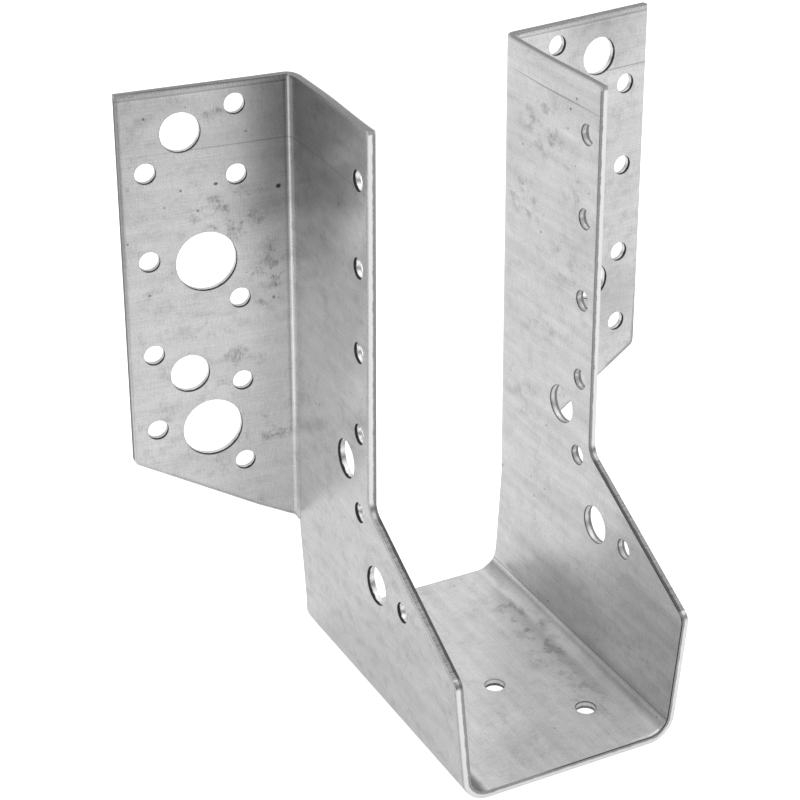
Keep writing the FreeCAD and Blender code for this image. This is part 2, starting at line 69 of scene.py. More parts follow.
@dataclass(frozen=True)
class BlankSizes:
    """Sizes of the folded blank in millimetres, as the solid has them."""

    thickness: float = 2.0
    clear_width: float = 58.0
    seat_depth: float = 85.5
    seat_fold_radius: float = 4.8
    header_fold_radius: float = 2.6
    knee_height: float = 33.0
    knee_radius: float = 24.0
    foot_lean: float = math.radians(5.2)
    cheek_lean: float = math.radians(0.38)
    fold_end_height: float = 33.6
    flange_width: float = 41.9
    flange_splay: float = math.radians(6.35)

    @property
    def front(self) -> float:
        """Place of the seat's front edge along the depth, with the origin in mid-plan."""
        return -(self.seat_depth + self.flange_width * math.sin(self.flange_splay)) / 2

    @property
    def half_width(self) -> float:
        """Half of the clear width."""
        return self.clear_width / 2

    def cheek_face(self, height: float) -> float:
        """Return how far out the upper cheek's inner face lies at a height."""
        return self.half_width - (height - self.knee_height) * math.tan(self.cheek_lean)

    @property
    def knee_centre(self) -> Vector:
        """Centre of the knee's soft bend, across and up."""
        lean, radius = self.cheek_lean, self.knee_radius
        return Vector((self.half_width - radius * math.cos(lean), self.knee_height - radius * math.sin(lean)))

    @property
    def seat_fold_centre(self) -> Vector:
        """Centre of the fold between seat and cheek, across and up."""
        out = Vector((math.cos(self.foot_lean), -math.sin(self.foot_lean)))
        up = self.thickness + self.seat_fold_radius
        reach = self.knee_radius - self.seat_fold_radius + self.knee_centre.dot(out)
        return Vector(((reach - up * out.y) / out.x, up))

    def header_fold_centre(self, height: float) -> Vector:
        """Return the header fold's centre at a height, out and back from the seat's front."""
        out = self.cheek_face(height) + self.thickness + self.header_fold_radius
        outer = self.header_fold_radius + self.thickness
        turn = (1 - math.sin(self.flange_splay)) / math.cos(self.flange_splay)
        return Vector((out, self.seat_depth - outer * turn))


@dataclass(frozen=True)
class Folding:
    """Turns places in the flat blank into places on the folded sheet, and back.

    A place in the blank is given along the depth of the seat, across from its middle, and
    by its depth in the sheet, from 0 on the broken side to 1 on the punched side.
    """

    sizes: BlankSizes = BlankSizes()
    soft_turn: float = math.radians(22)
    soft_radius: float = 6.0
    tight_radius: float = 0.9
    free_end: float = 83.15
    free_margin: float = 0.01
    end_margin: float = 1.0
    drawn_in: float = 0.9
    draw_start: float = 44.0
    draw_reach: float = 26.0
    draw_steps: int = 8
    settle: float = 8.0

    @property
    def seat_end(self) -> float:
        """Place across at which the seat ends and its fold starts."""
        return self.sizes.seat_fold_centre.x

    @property
    def foot_start(self) -> float:
        """Place across at which the seat's fold ends."""
        s = self.sizes
        return self.seat_end + (math.pi / 2 - s.foot_lean) * (s.seat_fold_radius + s.thickness / 2)

    @property
    def foot_rise(self) -> Vector:
        """Direction in which the foot rises, across and up."""
        return Vector((math.sin(self.sizes.foot_lean), math.cos(self.sizes.foot_lean)))

    @property
    def knee_start(self) -> float:
        """Place across at which the knee starts."""
        return self.foot_start + (self.sizes.knee_centre - self.sizes.seat_fold_centre).dot(self.foot_rise)

    @property
    def knee_end(self) -> float:
        """Place across at which the knee ends."""
        s = self.sizes
        return self.knee_start + (s.foot_lean + s.cheek_lean) * (s.knee_radius + s.thickness / 2)

    @property
    def cheek_rise(self) -> Vector:
        """Direction in which the upper cheek rises, across and up."""
        return Vector((-math.sin(self.sizes.cheek_lean), math.cos(self.sizes.cheek_lean)))

    @property
    def header_start(self) -> float:
        """Place along at which the header fold starts."""
        return self.sizes.header_fold_centre(0.0).y

    @property
    def header_turn(self) -> float:
        """Angle of the header fold."""
        return math.pi / 2 - self.sizes.flange_splay

    @property
    def header_end(self) -> float:
        """Place along at which the header fold ends."""
        return self.header_start + self.header_turn * self._header_middle

    @property
    def header_low(self) -> float:
        """Place across of the header fold's lower end."""
        return self.from_height(self.sizes.fold_end_height)

    @property
    def _header_middle(self) -> float:
        """Radius of the middle of the header fold."""
        return self.sizes.header_fold_radius + self.sizes.thickness / 2

    def from_height(self, up: float) -> float:
        """Return the place across of a height on the upper cheek."""
        return self.knee_end + (up - self.sizes.knee_height) / math.cos(self.sizes.cheek_lean)

    def to_height(self, across: float) -> float:
        """Return the height of a place across on the upper cheek."""
        return self.sizes.knee_height + (across - self.knee_end) * math.cos(self.sizes.cheek_lean)

    def flat(self, point: Vector) -> tuple[float, float, float]:
        """Unfold one point.

        Args:
            point: a place on the sheet, in metres.

        Returns:
            Its places along and across in millimetres, and its depth from 0 to 1.
        """
        s = self.sizes
        side = -1.0 if point.x < 0 else 1.0
        out, back, up = abs(point.x) / MM, point.y / MM - s.front, point.z / MM
        if up > s.fold_end_height - self.free_margin and back > self.header_start:
            along, depth = self._flat_header(Vector((out, back)), s.header_fold_centre(up))
            return along, side * self.from_height(up), depth
        across, depth = self._flat_section(Vector((out, up)))
        return back, side * across, depth

    def _flat_header(self, spot: Vector, centre: Vector) -> tuple[float, float]:
        """Unfold a point of the header fold or its flange.

        Args:
            spot: its place out and back, in millimetres.
            centre: the fold's centre at its height.

        Returns:
            Its place along and its depth.
        """
        s = self.sizes
        ray = spot - centre
        turned = math.atan2(ray.y, -ray.x)
        outer = s.header_fold_radius + s.thickness
        if turned < self.header_turn:
            return self.header_start + turned * self._header_middle, (outer - ray.length) / s.thickness
        along = Vector((math.cos(s.flange_splay), math.sin(s.flange_splay)))
        square = Vector((-along.y, along.x))
        return self.header_end + ray.dot(along), (outer - ray.dot(square)) / s.thickness

    def _flat_section(self, spot: Vector) -> tuple[float, float]:
        """Unfold a point of the section through seat and cheek.

        Args:
            spot: its place out and up, in millimetres.

        Returns:
            Its place across and its depth.
        """
        s = self.sizes
        if spot.x <= self.seat_end:
            return spot.x, 1 - spot.y / s.thickness
        ray = spot - s.seat_fold_centre
        turned = math.atan2(ray.x, -ray.y)
        if turned < math.pi / 2 - s.foot_lean:
            across = self.seat_end + turned * (s.seat_fold_radius + s.thickness / 2)
            return across, (ray.length - s.seat_fold_radius) / s.thickness
        across = self.foot_start + ray.dot(self.foot_rise)
        if across < self.knee_start:
            out = Vector((self.foot_rise.y, -self.foot_rise.x))
            return across, (ray.dot(out) - s.seat_fold_radius) / s.thickness
        ray = spot - s.knee_centre
        turned = math.atan2(ray.y, ray.x) + s.foot_lean
        if turned < s.foot_lean + s.cheek_lean:
            across = self.knee_start + turned * (s.knee_radius + s.thickness / 2)
            return across, (ray.length - s.knee_radius) / s.thickness
        out = Vector((self.cheek_rise.y, -self.cheek_rise.x))
        return self.knee_end + ray.dot(self.cheek_rise), (ray.dot(out) - s.knee_radius) / s.thickness

    def folded(self, along: float, across: float, depth: float) -> Vector:
        """Fold one place of the blank.

        Args:
            along: millimetres from the seat's front edge.
            across: millimetres from the middle of the seat, negative to the left.
            depth: 0 on the broken side to 1 on the punched side.

        Returns:
            The place on the folded sheet, in metres.
        """
        s = self.sizes
        side = -1.0 if across < 0 else 1.0
        inward = self._inward(along, abs(across))
        lowest = self.header_low - (self.free_margin if along < self.free_end else self.end_margin)
        if abs(across) > lowest and along > self.press_start:
            up = self.to_height(abs(across))
            spot = self._folded_header(along, depth, s.header_fold_centre(up))
            return Vector((side * (spot.x - inward), s.front + spot.y, up)) * MM
        spot = self._folded_section(abs(across), depth)
        return Vector((side * (spot.x - inward), s.front + along, spot.y)) * MM

    def _inward(self, along: float, across: float) -> float:
        """Tell how far the press drew the cheek's rear part further in.

        Args:
            along: millimetres from the seat's front edge.
            across: millimetres from the middle of the seat.

        Returns:
            The way inwards, in millimetres.
        """
        back = min(max((along - self.draw_start) / self.draw_reach, 0.0), 1.0) * self.draw_steps
        step = min(math.floor(back), self.draw_steps - 1)
        first, last = (self._swell((step + end) / self.draw_steps) for end in (0, 1))
        rise = min(max((across - self.foot_start) / (self.header_low - self.foot_start), 0.0), 1.0)
        left = 1.0 - min(max((along - self.press_end) / self.settle, 0.0), 1.0)
        return self.drawn_in * (first + (last - first) * (back - step)) * rise * left

    def _swell(self, share: float) -> float:
        """Return a soft rise from 0 to 1."""
        return share * share * (3.0 - 2.0 * share)

    @property
    def _reaches(self) -> tuple[float, float, float]:
        """Measure how far the header fold reaches from the corner of its two flat faces.

        Returns:
            The reach of one even fold, of the soft turn and of the tight turn, in millimetres.
        """
        tight_turn = self.header_turn - self.soft_turn
        soft = self.soft_radius * math.tan(self.soft_turn / 2)
        tight = self.tight_radius * math.tan(tight_turn / 2)
        slope = (soft + tight) / math.sin(self.header_turn)
        even = self.sizes.header_fold_radius * math.tan(self.header_turn / 2)
        return even, soft + slope * math.sin(tight_turn), tight + slope * math.sin(self.soft_turn)

    @property
    def press_start(self) -> float:
        """Place along at which the pressed shape of the header fold starts."""
        even, soft, _ = self._reaches
        return self.header_start + even - soft

    @property
    def press_end(self) -> float:
        """Place along at which the pressed shape of the header fold ends."""
        even, _, tight = self._reaches
        return self.header_end - even + tight

    def _folded_header(self, along: float, depth: float, centre: Vector) -> Vector:
        """Fold a place behind the cheek, softly first and then tightly.

        Args:
            along: millimetres from the seat's front edge.
            depth: 0 on the broken side to 1 on the punched side.
            centre: the centre of one even fold at the place's height.

        Returns:
            The place out and back, in millimetres.
        """
        s = self.sizes
        below = (1 - depth) * s.thickness
        start = centre + Vector((-s.header_fold_radius, self.press_start - self.header_start))
        if along < self.press_start:
            return start + Vector((-below, along - self.press_start))
        soft_run = self.soft_turn * (self.soft_radius + s.thickness / 2)
        tight_run = (self.header_turn - self.soft_turn) * (self.tight_radius + s.thickness / 2)
        share = min((along - self.press_start) / (self.press_end - self.press_start), 1.0)
        run = share * (soft_run + tight_run)
        middle, radius = start + Vector((self.soft_radius, 0.0)), self.soft_radius
        turned = run / (self.soft_radius + s.thickness / 2)
        if run > soft_run:
            towards = Vector((-math.cos(self.soft_turn), math.sin(self.soft_turn)))
            middle, radius = middle + towards * (self.soft_radius - self.tight_radius), self.tight_radius
            turned = self.soft_turn + (run - soft_run) / (self.tight_radius + s.thickness / 2)
        spot = middle + Vector((-math.cos(turned), math.sin(turned))) * (radius + below)
        reach = max(along - self.press_end, 0.0)
        return spot + Vector((math.cos(s.flange_splay), math.sin(s.flange_splay))) * reach

    def _folded_section(self, across: float, depth: float) -> Vector:
        """Fold a place of the seat or cheek.

        Args:
            across: millimetres from the middle of the seat.
            depth: 0 on the broken side to 1 on the punched side.

        Returns:
            The place out and up, in millimetres.
        """
        s = self.sizes
        if across <= self.seat_end:
            return Vector((across, (1 - depth) * s.thickness))
        radius = s.seat_fold_radius + depth * s.thickness
        if across < self.knee_start:
            turned = (across - self.seat_end) / (s.seat_fold_radius + s.thickness / 2)
            turned = min(turned, math.pi / 2 - s.foot_lean)
            spot = s.seat_fold_centre + Vector((math.sin(turned), -math.cos(turned))) * radius
            return spot + self.foot_rise * max(across - self.foot_start, 0.0)
        radius = s.knee_radius + depth * s.thickness
        turned = (across - self.knee_start) / (s.knee_radius + s.thickness / 2)
        turned = min(turned, s.foot_lean + s.cheek_lean) - s.foot_lean
        spot = s.knee_centre + Vector((math.cos(turned), math.sin(turned))) * radius
        return spot + self.cheek_rise * max(across - self.knee_end, 0.0)


class Signal:
    """A shader socket that takes part in Python arithmetic."""

    def __init__(self, graph: "Graph", socket: bpy.types.NodeSocket) -> None:
        """Wrap one output socket of a graph."""
        self.graph = graph
        self.socket = socket

    def _math(self, operation: str, *values: Any) -> "Signal":
        """Add one Math node.

        Args:
            operation: what it does.
            values: the values or signals that it works on.

        Returns:
            Its result.
        """
        settings = {"operation": operation}
        inputs = dict(enumerate(values))
        return self.graph.node("ShaderNodeMath", settings, inputs).out()

    def __add__(self, other: Any) -> "Signal":
        """Return self + other."""
        return self._math("ADD", self, other)

    def __radd__(self, other: Any) -> "Signal":
        """Return other + self."""
        return self._math("ADD", other, self)

    def __sub__(self, other: Any) -> "Signal":
        """Return self - other."""
        return self._math("SUBTRACT", self, other)

    def __rsub__(self, other: Any) -> "Signal":
        """Return other - self."""
        return self._math("SUBTRACT", other, self)

    def __mul__(self, other: Any) -> "Signal":
        """Return self * other."""
        return self._math("MULTIPLY", self, other)

    def __rmul__(self, other: Any) -> "Signal":
        """Return other * self."""
        return self._math("MULTIPLY", other, self)

    def __truediv__(self, other: Any) -> "Signal":
        """Return self / other."""
        return self._math("DIVIDE", self, other)

    def __pow__(self, other: Any) -> "Signal":
        """Return self ** other."""
        return self._math("POWER", self, other)

    def larger(self, other: Any) -> "Signal":
        """Return the larger of the two."""
        return self._math("MAXIMUM", self, other)

    def smaller(self, other: Any) -> "Signal":
        """Return the smaller of the two."""
        return self._math("MINIMUM", self, other)

    def size(self) -> "Signal":
        """Return the value without its sign."""
        return self._math("ABSOLUTE", self)

    def ramp(self, low: Number, high: Number, first: Number = 0.0, last: Number = 1.0) -> "Signal":
        """Return a smooth step from first at low to last at high."""
        settings = {"interpolation_type": "SMOOTHSTEP"}
        inputs = {"Value": self, "From Min": low, "From Max": high, "To Min": first, "To Max": last}
        return self.graph.node("ShaderNodeMapRange", settings, inputs).out()

    def band(self, centre: Number, width: Number) -> "Signal":
        """Return 1 at centre, falling smoothly to 0 a width away on both sides."""
        return (self - centre).size().ramp(0.0, width, 1.0, 0.0)


@dataclass
class Node:
    """One node of a graph."""

    graph: "Graph"
    node: bpy.types.Node

    def out(self, name: Union[int, str] = 0) -> Signal:
        """Return one of the node's outputs."""
        return Signal(self.graph, self.node.outputs[name])


class Graph:
    """A node tree that is filled from Python expressions."""

    def __init__(self, tree: bpy.types.NodeTree) -> None:
        """Start from an empty tree."""
        self.tree = tree
        tree.nodes.clear()

    def node(self, kind: str, settings: dict[str, Any], inputs: dict[Any, Any]) -> Node:
        """Add a node.

        Args:
            kind: the node's type.
            settings: its own settings, set first.
            inputs: values or signals for its sockets, by name or number.

        Returns:
            The new node.
        """
        made = self.tree.nodes.new(kind)
        for name, setting in settings.items():
            setattr(made, name, setting)
        for name, given in inputs.items():
            self._feed(made.inputs[name], given)
        return Node(self, made)

    def _feed(self, socket: bpy.types.NodeSocket, given: Any) -> None:
        """Give a socket a value or link a signal to it.

        Args:
            socket: the input.
            given: the value or the signal.
        """
        if isinstance(given, Signal):
            self.tree.links.new(given.socket, socket)
        else:
            socket.default_value = given

    def grey(self, tone: Any) -> Signal:
        """Return a neutral colour of the given tone."""
        inputs = {"Red": tone, "Green": tone, "Blue": tone}
        return self.node("ShaderNodeCombineColor", {}, inputs).out()

    def times(self, vector: Signal, x: float, y: float, z: float = 1.0) -> Signal:
        """Return a vector scaled along each axis."""
        settings = {"operation": "MULTIPLY"}
        return self.node("ShaderNodeVectorMath", settings, {0: vector, 1: (x, y, z)}).out()

    def split(self, vector: Signal) -> tuple[Signal, Signal, Signal]:
        """Return the three parts of a vector."""
        parts = self.node("ShaderNodeSeparateXYZ", {}, {"Vector": vector})
        return parts.out(0), parts.out(1), parts.out(2)

    @cached_property
    def place(self) -> Signal:
        """Place in the flat blank, in millimetres."""
        place = self.node("ShaderNodeUVMap", {"uv_map": "blank"}, {}).out()
        return self.times(place, 1 / MM, 1 / MM)

    @cached_property
    def depth(self) -> Signal:
        """Depth in the sheet, 0 on the broken side to 1 on the punched side."""
        return self.node("ShaderNodeAttribute", {"attribute_name": "depth"}, {}).out(2)

    def metal(self, tone: Signal, rough: Any, height: Signal, strength: float, bare: Any = 1.0) -> None:
        """End the graph in a metal.

        Args:
            tone: how bright it is.
            rough: its roughness.
            height: its fine relief.
            strength: how strongly the relief shows.
            bare: 1 where it is bare metal, less where it is dull.
        """
        bump = self.node("ShaderNodeBump", {}, {"Strength": strength, "Distance": RELIEF, "Height": height})
        inputs = {"Base Color": self.grey(tone), "Metallic": bare, "Roughness": rough, "Normal": bump.out()}
        inputs["Specular IOR Level"] = 0.0
        shader = self.node("ShaderNodeBsdfPrincipled", {}, inputs)
        self.node("ShaderNodeOutputMaterial", {}, {"Surface": shader.out()})


def new_graph(name: str) -> tuple[bpy.types.Material, Graph]:
    """Make a material.

    Args:
        name: its name.

    Returns:
        The material and its empty graph.
    """
    made = bpy.data.materials.new(name)
    made.use_nodes = True
    return made, Graph(made.node_tree)


@dataclass(frozen=True)
class Mark:
    """One mark on the coat: its place in the blank, its reach and its strength."""

    along: float
    across: float
    half_length: float
    half_width: float
    strength: float

    def on(self, graph: Graph, core: float) -> Signal:
        """Draw the mark.

        Args:
            graph: the material's graph.
            core: the share of its reach that has its full strength.

        Returns:
            The mark's strength, fading to 0 at its reach.
        """
        settings, centre = {"operation": "SUBTRACT"}, (self.along, self.across, 0.0)
        apart = graph.node("ShaderNodeVectorMath", settings, {0: graph.place, 1: centre}).out()
        apart = graph.times(apart, 1 / self.half_length, 1 / self.half_width, 0.0)
        length = graph.node("ShaderNodeVectorMath", {"operation": "LENGTH"}, {0: apart}).out("Value")
        return length.ramp(core, 1.0, self.strength, 0.0)


@dataclass(frozen=True)
class Line:
    """A soft line on the blank: its place, its reach to both sides and its strength."""

    centre: float
    reach: float
    strength: float

    def on(self, place: Signal) -> Signal:
        """Return the line's strength at a place."""
        return place.band(self.centre, self.reach) * self.strength


@dataclass(frozen=True)
class Texture:
    """A layer of noise: its repeats per millimetre, its detail, and its share in tone and relief."""

    along: float
    across: float
    detail: float
    rough: float = 0.5
    shade: float = 0.0
    relief: float = 0.0

    def on(self, graph: Graph) -> Signal:
        """Return the noise, from 0 to 1."""
        vector = graph.times(graph.place, self.along, self.across)
        inputs = {"Vector": vector, "Scale": 1.0, "Detail": self.detail, "Roughness": self.rough}
        return graph.node("ShaderNodeTexNoise", {"noise_dimensions": "3D"}, inputs).out(0)

    def about(self, graph: Graph) -> Signal:
        """Return the noise, evenly about 0."""
        return self.on(graph) - 0.5


# Wide darker fields of the coat; the first, over the top of the left cheek and flange, is painted shade
DARK_AND_SHADED_FIELDS = (
    Mark(76.0, -166.0, 40.0, 46.0, 0.34),
    Mark(50.0, 22.0, 34.0, 6.0, 0.24),
    Mark(22.0, 25.0, 30.0, 8.0, 0.35),
    Mark(10.0, -4.0, 14.0, 20.0, 0.10),
    Mark(48.0, 38.0, 34.0, 13.0, 0.30),
    Mark(90.0, -150.0, 9.0, 30.0, 0.12),
    Mark(118.0, -171.0, 16.0, 10.0, 0.14),
    Mark(112.0, 172.0, 24.0, 16.0, 0.26),
    Mark(112.0, 130.0, 30.0, 40.0, 0.08),
    Mark(115.0, 96.0, 20.0, 18.0, 0.22),
    Mark(93.0, -143.0, 13.0, 5.0, 0.16),
    Mark(18.0, 50.0, 30.0, 22.0, 0.15),
)
# Fields that were rubbed in handling
RUBBED = (
    Mark(97.4, -142.5, 15.0, 9.0, 0.75),
    Mark(90.3, -125.0, 6.0, 12.0, 0.8),
    Mark(97.4, -103.6, 8.0, 7.0, 0.6),
    Mark(92.4, -84.0, 9.0, 7.0, 0.7),
    Mark(101.8, -167.1, 4.0, 3.0, 0.8),
    Mark(66.2, 158.0, 14.0, 10.0, 1.0),
    Mark(72.1, 136.4, 12.0, 7.0, 1.2),
    Mark(54.0, 146.0, 8.0, 8.0, 0.7),
    Mark(56.0, 127.1, 7.0, 8.0, 0.7),
    Mark(63.1, 105.4, 9.0, 8.0, 0.5),
    Mark(71.7, 82.1, 9.0, 9.0, 0.5),
    Mark(54.0, 21.0, 26.0, 6.0, 1.3),
    Mark(30.0, 17.0, 26.0, 6.0, 0.9),
    Mark(20.0, 40.0, 16.0, 10.0, 0.5),
)
# Small dark spots
SPOTS = (
    Mark(87.4, -147.4, 0.75, 0.75, 0.85),
    Mark(101.8, -150.2, 0.7, 0.5, 0.75),
    Mark(110.2, -149.7, 0.45, 0.45, 0.6),
    Mark(106.3, -144.2, 0.45, 0.45, 0.6),
    Mark(118.1, -168.1, 0.4, 0.5, 0.6),
    Mark(114.2, -146.1, 0.35, 0.35, 0.5),
    Mark(118.6, -124.7, 0.45, 0.35, 0.55),
    Mark(89.0, -119.3, 0.45, 0.6, 0.6),
    Mark(58.0, -152.0, 0.5, 0.5, 0.5),
    Mark(52.4, 168.5, 0.6, 0.45, 0.5),
    Mark(54.8, 165.3, 0.6, 0.45, 0.6),
    Mark(75.0, 149.9, 0.5, 0.45, 0.5),
    Mark(74.6, 139.7, 0.5, 0.4, 0.45),
    Mark(65.9, 130.4, 0.6, 0.4, 0.55),
    Mark(68.0, 61.8, 0.4, 0.4, 0.5),
    Mark(61.6, 61.2, 0.4, 0.3, 0.5),
    Mark(55.7, 31.3, 0.6, 0.3, 0.6),
)
# Long fine lines of the rolling
ROLL_LINES = (
    Mark(80.0, -159.3, 60.0, 0.2, 0.34),
    Mark(118.0, 159.5, 34.0, 0.2, 0.40),
    Mark(60.0, 167.3, 30.0, 0.25, 0.45),
)


@dataclass(frozen=True)
class ZincCoat:
    """Satin zinc coat of the sheet's faces, with its rolling lines and handling marks, painted highlights and
    shade in its folds, and a painted glint at the seat's front.
    """

    name: str = "zinc_coat"
    tone: float = 0.71
    roughness: float = 0.29
    relief: float = 0.12
    marked: float = 0.65
    fine: Texture = Texture(0.08, 3.6, 3.0, 0.7, shade=0.40, relief=0.8)
    hatch: Texture = Texture(3.8, 0.30, 2.0, 0.7, shade=0.40, relief=0.5)
    broad: Texture = Texture(0.015, 0.30, 2.0, shade=0.24)
    cloud: Texture = Texture(0.07, 0.11, 4.0, 0.65, shade=0.36, relief=4.0)
    grain: Texture = Texture(2.6, 2.6, 3.0, 0.8, shade=0.75, relief=0.6)
    strokes: Texture = Texture(2.8, 0.55, 4.0, 0.8)
    patches: Texture = Texture(0.22, 0.26, 4.0, 0.65)
    fields: Texture = Texture(0.05, 0.04, 1.0)
    cheek_starts: tuple[float, float] = (80.0, 90.0)
    flange_starts: tuple[float, float] = (84.0, 86.0)
    # Painted highlight along the header fold, and painted shade beside it towards the flange
    fold_painted_shade: Line = Line(85.5, 0.8, 0.28)
    fold_painted_highlight: Line = Line(83.8, 1.0, 0.48)
    lip: tuple[float, float] = (172.7, 173.2)
    lip_dark: float = 0.30
    lip_bright: Line = Line(172.5, 0.2, 0.10)
    # Painted highlight and painted shade in the seat's fold, and a dark line along it
    seat_painted_highlight: Line = Line(28.2, 1.0, 0.20)
    seat_painted_shade: Line = Line(25.0, 3.0, 0.30)
    seat_dark: Line = Line(29.4, 0.3, 0.45)
    # Painted glint on the burr along the seat's front edge
    glint_edge: Line = Line(0.75, 0.5, 0.6)
    glint_stretch: Line = Line(22.0, 6.0, 1.0)
    glint_spots: Texture = Texture(0.6, 0.9, 2.0)
    inside_gain: float = 0.07
    pit_scale: float = 0.21
    pits_chosen: float = 0.66
    pits_inside: float = 0.14

    def build(self) -> bpy.types.Material:
        """Make the finish.

        Returns:
            Its material.
        """
        made, graph = new_graph(self.name)
        tone, rough, relief = self._rolling(graph)
        marks = (self._rubs_and_shade(graph) + self._pits(graph)).smaller(1.0)
        tone = tone * (1.0 - marks * self.marked) * self._left(graph) * self._painted_light_and_lines(graph)
        graph.metal(tone, rough, relief, self.relief)
        return made

    def _rolling(self, graph: Graph) -> tuple[Signal, Signal, Signal]:
        """Draw what rolling and the zinc bath leave.

        Args:
            graph: the material's graph.

        Returns:
            The tone, the roughness and the relief.
        """
        layers = (self.fine, self.hatch, self.broad, self.cloud, self.grain)
        fine, hatch, broad, cloud, grain = (layer.about(graph) for layer in layers)
        broad = broad * (1.7 - graph.depth * 0.7)
        tone, relief = 1.0, 0.0
        for layer, noise in zip(layers, (fine, hatch, broad, cloud, grain)):
            tone = noise * layer.shade + tone
            if layer.relief:
                relief = noise * layer.relief + relief
        return tone * self.tone, cloud * 0.08 + grain * 0.05 + self.roughness, relief

    def _rubs_and_shade(self, graph: Graph) -> Signal:
        """Draw dull rubbed patches, filled with fine strokes across the rolling lines.

        Args:
            graph: the material's graph.

        Returns:
            How strongly the coat is rubbed.
        """
        strokes = self.strokes.on(graph).ramp(0.38, 0.68)
        patches = self.patches.on(graph).ramp(0.46, 0.66)
        fields = self.fields.on(graph).ramp(0.34, 0.56, 0.15, 0.45)
        for mark in RUBBED:
            fields = fields + mark.on(graph, 0.3)
        strokes = 0.16 + strokes * (0.45 + graph.depth * 0.3)
        return patches * fields * strokes * (1.1 + graph.depth * 0.05)

    def _painted_light_and_lines(self, graph: Graph) -> Signal:
        """Draw painted highlights and painted shade in the header and seat folds, a painted glint on the burr
        at the seat's front, a dark line in the seat's fold, dark and bright lines along the flanges' tops,
        and a slight lift of the broken side.

        Args:
            graph: the material's graph.

        Returns:
            What they multiply the tone by.
        """
        along, across, _ = graph.split(graph.place)
        aside = across.size()
        # painted highlight and painted shade along the header fold, on the punched side of the cheeks
        fold = self.fold_painted_highlight.on(along) - self.fold_painted_shade.on(along)
        fold = aside.ramp(*self.cheek_starts) * graph.depth * fold
        low, high = self.lip
        lip = aside.ramp(low, low + 0.1) * aside.ramp(high - 0.1, high, 1.0, 0.0) * self.lip_dark
        lip = (lip - self.lip_bright.on(aside)) * along.ramp(*self.flange_starts) * graph.depth
        # painted highlight and painted shade in the seat's fold, with a dark line along it, on the broken
        # side
        pressed = self.seat_painted_highlight.on(aside) - self.seat_painted_shade.on(aside) - self.seat_dark.on(aside)
        # painted glint on the burr along the seat's front edge, right of the middle
        stretch = self.glint_stretch.on(across).ramp(0.0, 0.3)
        painted_glint = self.glint_edge.on(along) * stretch * self.glint_spots.on(graph).ramp(0.42, 0.5)
        return 1.0 + fold - lip + (1.0 - graph.depth) * (pressed + painted_glint + self.inside_gain)

    def _pits(self, graph: Graph) -> Signal:
        """Draw sparse dark pits, denser on the broken side.

        Args:
            graph: the material's graph.

        Returns:
            1 in a pit and 0 elsewhere.
        """
        cells = graph.node("ShaderNodeTexVoronoi", {}, {"Vector": graph.place, "Scale": self.pit_scale})
        chosen, size, _ = graph.split(cells.out("Color"))
        pits = 1.0 - (cells.out("Distance") / (size * 0.05 + 0.03)).ramp(0.5, 1.0)
        chosen = chosen + (1.0 - graph.depth) * self.pits_inside
        return pits * chosen.ramp(self.pits_chosen, self.pits_chosen + 0.02)

    def _left(self, graph: Graph) -> Signal:
        """Darken the coat at the marks that sit at known places.

        Args:
            graph: the material's graph.

        Returns:
            What is left of the tone.
        """
        left = 1.0
        for marks, core in ((DARK_AND_SHADED_FIELDS, 0.0), (SPOTS, 0.45), (ROLL_LINES, 0.3)):
            for mark in marks:
                left = (1.0 - mark.on(graph, core)) * left
        return left


@dataclass(frozen=True)
class RolledEdge(ZincCoat):
    """The drawn-in border of the punched side, streaked, with a groove along its inside and painted shade at
    the right flange's end.
    """

    name: str = "rolled_edge"
    tone: float = 0.70
    roughness: float = 0.3
    streaks: Texture = Texture(3.2, 1.2, 3.0, 0.7)
    groove: Line = Line(0.975, 0.022, 0.45)
    top: float = 172.0
    flange_end: float = 115.0

    def _rubs_and_shade(self, graph: Graph) -> Signal:
        """Draw the streaks that the cutting tool left, strongest along the top, the groove, and painted shade
        at the flange ends, darker at the right end and lighter at the left.

        Args:
            graph: the material's graph.

        Returns:
            How strongly the border is darkened.
        """
        along, across, _ = graph.split(graph.place)
        streaks = self.streaks.on(graph).ramp(0.40, 0.70, 0.0, 0.7)
        top = across.size().ramp(self.top, self.top + 1.0)
        # painted shade at the right flange's end; the left flange's end is lightened
        end = along.ramp(self.flange_end, self.flange_end + 1.0) * across.ramp(-10.0, 10.0, -0.25, 0.35)
        inner = (self.groove.on(graph.depth) + end) * (1.0 - top)
        return (streaks * (0.35 + top * 0.35) + inner).larger(0.0)


